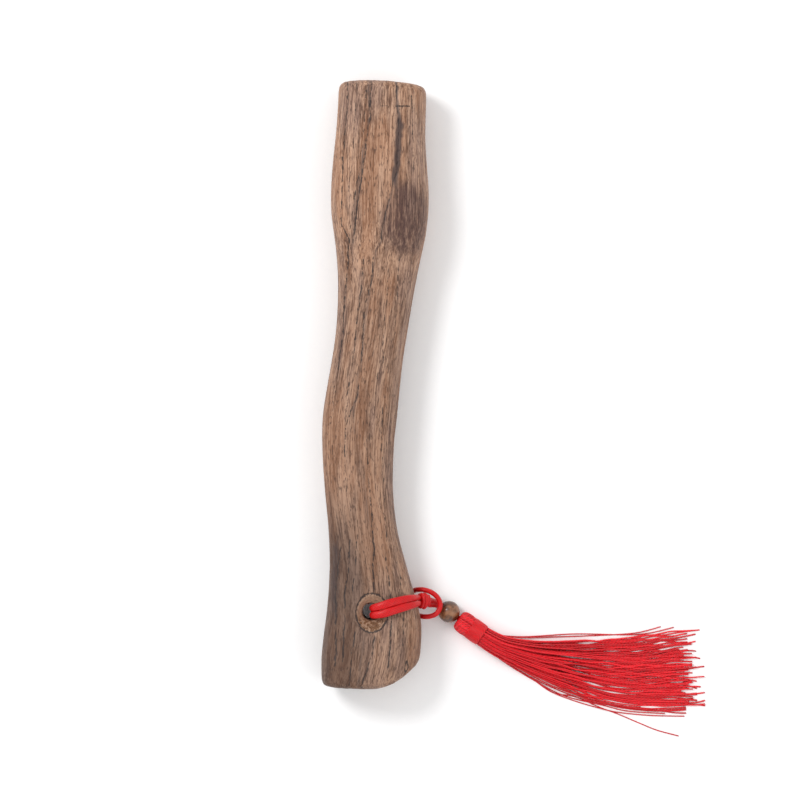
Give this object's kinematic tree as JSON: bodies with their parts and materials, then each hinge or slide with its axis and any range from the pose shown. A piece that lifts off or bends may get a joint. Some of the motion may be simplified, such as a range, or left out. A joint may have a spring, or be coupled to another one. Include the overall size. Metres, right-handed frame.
{
  "type": "wooden training baton",
  "caption": "Short carved hardwood hand baton with a flared butt and swelled head, its cord lanyard girth-hitched through a countersunk hole, with a round bead and a silk tassel.",
  "frame": {"origin": "on the table under the middle of the wooden body's box, lying on its back", "axes": "+Y along the baton from the butt with the cord hole to the swelled head, +X towards the edge the lanyard leaves over, +Z out of the front face"},
  "size_m": [0.1798, 0.3041, 0.0384],
  "materials": {
    "wood": "oiled coarse-grained brown hardwood, low satin",
    "cord": "red satin braided cord",
    "yarn": "red twisted silk-look yarn",
    "binding_thread": "red thread wound side by side",
    "bead": "polished mottled brown"
  },
  "bodies": {
    "baton": {"baton_body": "wood", "lanyard_loop": "cord", "lanyard_front": "cord", "lanyard_knot": "cord"},
    "lanyard_end": {"lanyard_tail": "cord"},
    "bead": {"bead": "bead"},
    "tassel": {"tassel_head": "yarn", "tassel_binding": "binding_thread", "tassel_skirt": "yarn", "stopper_knot": "cord"}
  },
  "joints": [
    {"name": "lanyard_swing", "type": "hinge", "parent": "baton", "child": "lanyard_end", "pos_m": [0.026, -0.1041, 0.011], "axis": [0, 0, 1], "range_deg": [-40, 60]},
    {"name": "bead_spin", "type": "hinge", "parent": "lanyard_end", "child": "bead", "pos_m": [0.0355, -0.109, 0.0053], "axis": [0.8071, -0.5549, -0.2018], "continuous": true},
    {"name": "tassel_lift", "type": "hinge", "parent": "lanyard_end", "child": "tassel", "pos_m": [0.0355, -0.109, 0.0053], "axis": [-0.5878, -0.809, 0], "range_deg": [0, 70]}
  ]
}
